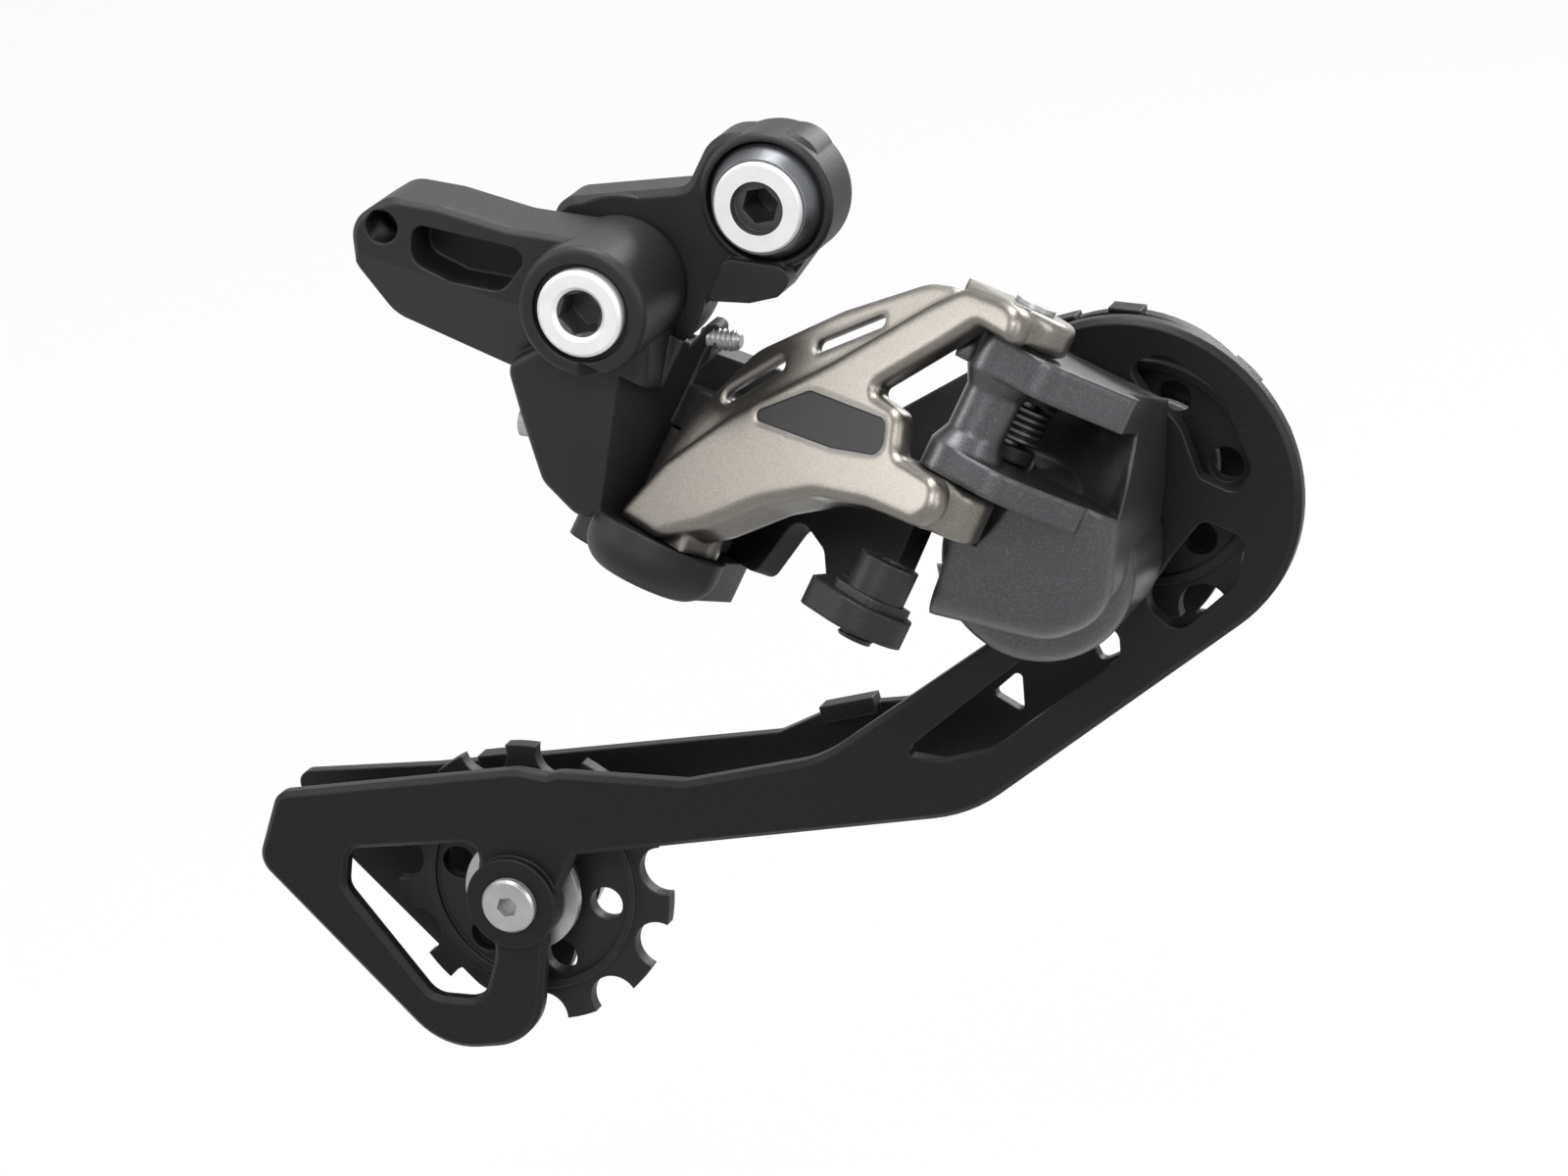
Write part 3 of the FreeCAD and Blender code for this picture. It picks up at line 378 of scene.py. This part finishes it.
def makePulleyPlastic():
    finish = Finish("moulded_pulley_plastic", Specular_IOR_Level=0.3)
    soft = finish.rounded(pulleyPlastic["rounding"])
    worn = finish.wornEdges(soft)
    cloud = finish.noise(pulleyPlastic["cloud"], 4)
    grain = finish.noise(pulleyPlastic["grain"], 3)
    tone = finish.blend(cloud, pulleyPlastic["low"], pulleyPlastic["high"])
    finish.feed(Base_Color=finish.blend(worn * cloud, tone, pulleyPlastic["rub"]),
                Roughness=0.42 + grain * 0.14 + cloud * 0.06,
                Normal=finish.bump(grain, pulleyPlastic["relief"], soft))
    return finish.surface


plainBadge = {"low": (0.010, 0.010, 0.011), "high": (0.017, 0.017, 0.018),
              "rounding": 0.0004, "relief": 0.00002, "mottle": 1500}


def makePlainBadge():
    finish = Finish("bare_badge_inlay", Specular_IOR_Level=0.2, Coat_Weight=0.05, Coat_Roughness=0.3)
    soft = finish.rounded(plainBadge["rounding"])
    mottle = finish.noise(plainBadge["mottle"], 3)
    finish.feed(Base_Color=finish.blend(mottle, plainBadge["low"], plainBadge["high"]),
                Roughness=0.30 + mottle * 0.12,
                Normal=finish.bump(mottle, plainBadge["relief"], soft))
    return finish.surface


sealRubber = {"low": (0.012, 0.012, 0.012), "high": (0.026, 0.026, 0.026), "relief": 0.00003, "dust": 260}


def makeSealRubber():
    finish = Finish("seal_rubber", IOR=1.5)
    dust = finish.noise(sealRubber["dust"], 4)
    finish.feed(Base_Color=finish.blend(dust, sealRubber["low"], sealRubber["high"]),
                Roughness=0.62 + dust * 0.2,
                Normal=finish.bump(dust, sealRubber["relief"]))
    return finish.surface


hangerAxis = joints["hanger_bolt_turn"]["pos_m"]
pivotAxis = joints["upper_pivot"]["pos_m"]

finishes = {
    "blackCoat": makeBlackCoat(),
    "blackPlate": makeBlackPlate(),
    "greyLink": makeGreyLink(),
    "greyKnuckle": makeGreyKnuckle(),
    "hangerFace": makeTurnedFace("turned_hanger_face", hangerAxis, turnedFace["hangerSocketShade"]),
    "pivotFace": makeTurnedFace("turned_pivot_face", pivotAxis, turnedFace["pivotSocketShade"]),
    "greyCollar": makeGreyCollar(hangerAxis),
    "boltSteel": makeSatinSteel("satin_bolt_steel"),
    "coverSteel": makeSatinSteel("pressed_cover_steel", 0.6),
    "blackSteel": makeBlackSteel(),
    "springWire": makeSpringWire(),
    "bearingMetal": makeBearingMetal(),
    "pulleyPlastic": makePulleyPlastic(),
    "badge": makePlainBadge(),
    "rubber": makeSealRubber(),
}
print("finishes made:", len(finishes))

finishOfSlot = {
    "black_casting": "blackCoat", "black_plate": "blackPlate", "grey_link": "greyLink",
    "grey_knuckle": "greyKnuckle", "grey_collar": "greyCollar", "bolt_steel": "boltSteel",
    "black_steel": "blackSteel", "cover_steel": "coverSteel", "spring_steel": "springWire",
    "bush_metal": "bearingMetal", "pulley_plastic": "pulleyPlastic", "badge": "badge",
    "seal_rubber": "rubber",
}
finishOfNode = {"hanger_bolt": "hangerFace", "b_axle": "pivotFace"}


def dress(node, finish):
    slots = node.data.materials
    if len(slots) == 0:
        slots.append(finish)
    for at in range(len(slots)):
        slots[at] = finish


for entry in frame["record"]["subparts"]:
    name = entry["node"]
    chosen = finishOfNode.get(name) or finishOfSlot[entry["material_slot"]]
    dress(nodes[name], finishes[chosen])
print("nodes dressed")


def addPiece(name, mesh, finish, body):
    piece = bpy.data.objects.new(name, mesh)
    bpy.context.scene.collection.objects.link(piece)
    mesh.materials.append(finishes[finish])
    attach(piece, body)


# the ridge's section: how deep its foot sits in the shaft, as a share of its height, and the half widths
# of its foot and crest, as shares of the pitch
ridge = {"sunk": 0.3, "foot": 0.42, "crest": 0.07, "stepsPerTurn": 28, "fadeSteps": 10}


# a screw thread: a small ridge that winds along a shaft and fades out at both ends
def threadRidge(name, thread, finish, body):
    along = Vector(thread["along"]).normalized()
    side = along.orthogonal().normalized()
    third = along.cross(side)
    mesh = bpy.data.meshes.new(name)
    bm = bmesh.new()
    pitch = thread["pitch"]
    stepsPerTurn = ridge["stepsPerTurn"]
    fadeSteps = ridge["fadeSteps"]
    steps = int(stepsPerTurn * thread["length"] / pitch)
    root = thread["radius"] - thread["height"] * ridge["sunk"]
    rows = []
    for step in range(steps + 1):
        angle = 2 * math.pi * step / stepsPerTurn
        outward = side * math.cos(angle) + third * math.sin(angle)
        fade = min(1.0, step / fadeSteps, (steps - step) / fadeSteps)
        centre = Vector(thread["start"]) + along * (pitch * step / stepsPerTurn)
        crest = root + thread["height"] * (ridge["sunk"] + fade)
        ring = [centre + outward * root - along * pitch * ridge["foot"],
                centre + outward * crest - along * pitch * ridge["crest"],
                centre + outward * crest + along * pitch * ridge["crest"],
                centre + outward * root + along * pitch * ridge["foot"]]
        rows.append([bm.verts.new(corner) for corner in ring])
    for row, following in zip(rows, rows[1:]):
        for at in range(4):
            after = (at + 1) % 4
            bm.faces.new((row[at], row[after], following[after], following[at]))
    bm.faces.new(rows[0])
    bm.faces.new(rows[-1][::-1])
    bmesh.ops.recalc_face_normals(bm, faces=bm.faces)
    bm.to_mesh(mesh)
    bm.free()
    addPiece(name, mesh, finish, body)


hangerThread = {"start": (0, 0.0009, 0), "along": (0, 1, 0), "radius": 0.005, "height": 0.00014,
                "pitch": 0.001, "length": 0.0075}
threadRidge("hanger_bolt_thread", hangerThread, "hangerFace", "hanger_bolt")


# a point given along the link from its pin in the body, inboard of it and up its pins
def linkPoint(along, inboard, up):
    pins = Vector(joints["shift"]["axis"])
    bodyEnd = Vector(joints["shift"]["pos_m"])
    knuckleEnd = Vector(joints["knuckle_swing"]["pos_m"])
    way = knuckleEnd - bodyEnd
    ahead = (way - pins * way.dot(pins)).normalized()
    return bodyEnd + ahead * along + pins.cross(ahead) * inboard + pins * up


low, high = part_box("b_screw")
threadedShare = 0.88
stopThread = {"start": (low[0], (low[1] + high[1]) / 2, (low[2] + high[2]) / 2), "along": (1, 0, 0),
              "radius": (high[1] - low[1]) / 2, "height": 0.0002, "pitch": 0.0008,
              "length": (high[0] - low[0]) * threadedShare}
threadRidge("b_screw_thread", stopThread, "boltSteel", "body")

anchorPlace = {"along": 0.0385, "inboard": 0.0022, "up": -0.0063}
anchorThread = {"start": linkPoint(**anchorPlace), "along": joints["shift"]["axis"], "radius": 0.0025,
                "height": 0.00022, "pitch": 0.0008, "length": 0.0015}
threadRidge("anchor_bolt_thread", anchorThread, "blackSteel", "inner_link")
print("threads cut")


# camera, lamps, floor and world
view = {"azimuth": 20, "elevation": 20, "aim": (0.0103, -0.0295, -0.0519), "distance": 1.0, "lens": 157.5,
        "sensor": 36, "nearest": 0.05, "farthest": 20}


def placeCamera():
    azimuth = math.radians(view["azimuth"])
    elevation = math.radians(view["elevation"])
    ahead = Vector((-math.sin(azimuth) * math.cos(elevation), math.cos(azimuth) * math.cos(elevation),
                    -math.sin(elevation)))
    data = bpy.data.cameras.new("viewpoint")
    data.lens = view["lens"]
    data.sensor_width = view["sensor"]
    data.clip_start = view["nearest"]
    data.clip_end = view["farthest"]
    camera = bpy.data.objects.new("viewpoint", data)
    camera.location = Vector(view["aim"]) - ahead * view["distance"]
    camera.rotation_euler = ahead.to_track_quat("-Z", "Y").to_euler()
    bpy.context.scene.collection.objects.link(camera)
    bpy.context.scene.camera = camera


softboxes = {
    "above": {"at": (-0.10, 0.05, 0.85), "size": (0.7, 0.4), "watts": 12},
    "left": {"at": (-0.26, -0.12, 0.09), "size": (0.07, 0.07), "watts": 0.18},
    "right": {"at": (0.95, -0.35, 0.25), "size": (0.2, 0.7), "watts": 4},
    "front": {"at": (0.15, -1.05, 0.75), "size": (0.5, 0.35), "watts": 9},
    "back": {"at": (0.25, 0.95, 0.40), "size": (0.6, 0.4), "watts": 7},
}
lampTarget = (0, 0, -0.05)


def placeLamps():
    target = Vector(lampTarget)
    for name, box in softboxes.items():
        data = bpy.data.lights.new(name, "AREA")
        data.shape = "RECTANGLE"
        data.size, data.size_y = box["size"]
        data.energy = box["watts"]
        lamp = bpy.data.objects.new(name, data)
        lamp.location = box["at"]
        lamp.rotation_euler = (target - lamp.location).to_track_quat("-Z", "Y").to_euler()
        bpy.context.scene.collection.objects.link(lamp)


floor = {"below": 0.09, "reach": 4.0, "tone": (0.6, 0.6, 0.6), "glow": 0.93, "grain": 9}


def layFloor():
    finish = Finish("pale_floor", Base_Color=(*floor["tone"], 1))
    finish.feed(Roughness=0.85 + finish.noise(floor["grain"], 3) * 0.1)
    glow = finish.make("ShaderNodeEmission", {}, {"Color": (1, 1, 1, 1), "Strength": 1.0})
    mix = finish.make("ShaderNodeMixShader", {}, {
        0: finish.seeingRays() * floor["glow"], 1: finish.shader.outputs[0], 2: glow.outputs[0]})
    finish.tree.links.new(mix.outputs[0], finish.output.inputs["Surface"])
    level = cadBox[0][2] - floor["below"]
    mesh = bpy.data.meshes.new("floor")
    reach = floor["reach"]
    corners = [(-reach, -reach, level), (reach, -reach, level), (reach, reach, level), (-reach, reach, level)]
    mesh.from_pydata(corners, [], [(0, 1, 2, 3)])
    mesh.materials.append(finish.surface)
    sheet = bpy.data.objects.new("floor", mesh)
    bpy.context.scene.collection.objects.link(sheet)


daylight = {"around": 0.04, "behind": 1.0}


def fillWorld():
    world = bpy.data.worlds.new("studio")
    bpy.context.scene.world = world
    world.use_nodes = True
    sky = Nodes(world.node_tree)
    dim = sky.make("ShaderNodeBackground", {}, {"Color": (1, 1, 1, 1), "Strength": daylight["around"]})
    white = sky.make("ShaderNodeBackground", {}, {"Color": (1, 1, 1, 1), "Strength": daylight["behind"]})
    mix = sky.make("ShaderNodeMixShader", {}, {0: sky.seeingRays(), 1: dim.outputs[0], 2: white.outputs[0]})
    sky.make("ShaderNodeOutputWorld", {}, {"Surface": mix.outputs[0]})


placeCamera()
placeLamps()
layFloor()
fillWorld()
bpy.context.scene.view_settings.view_transform = "Standard"
print("stage set")
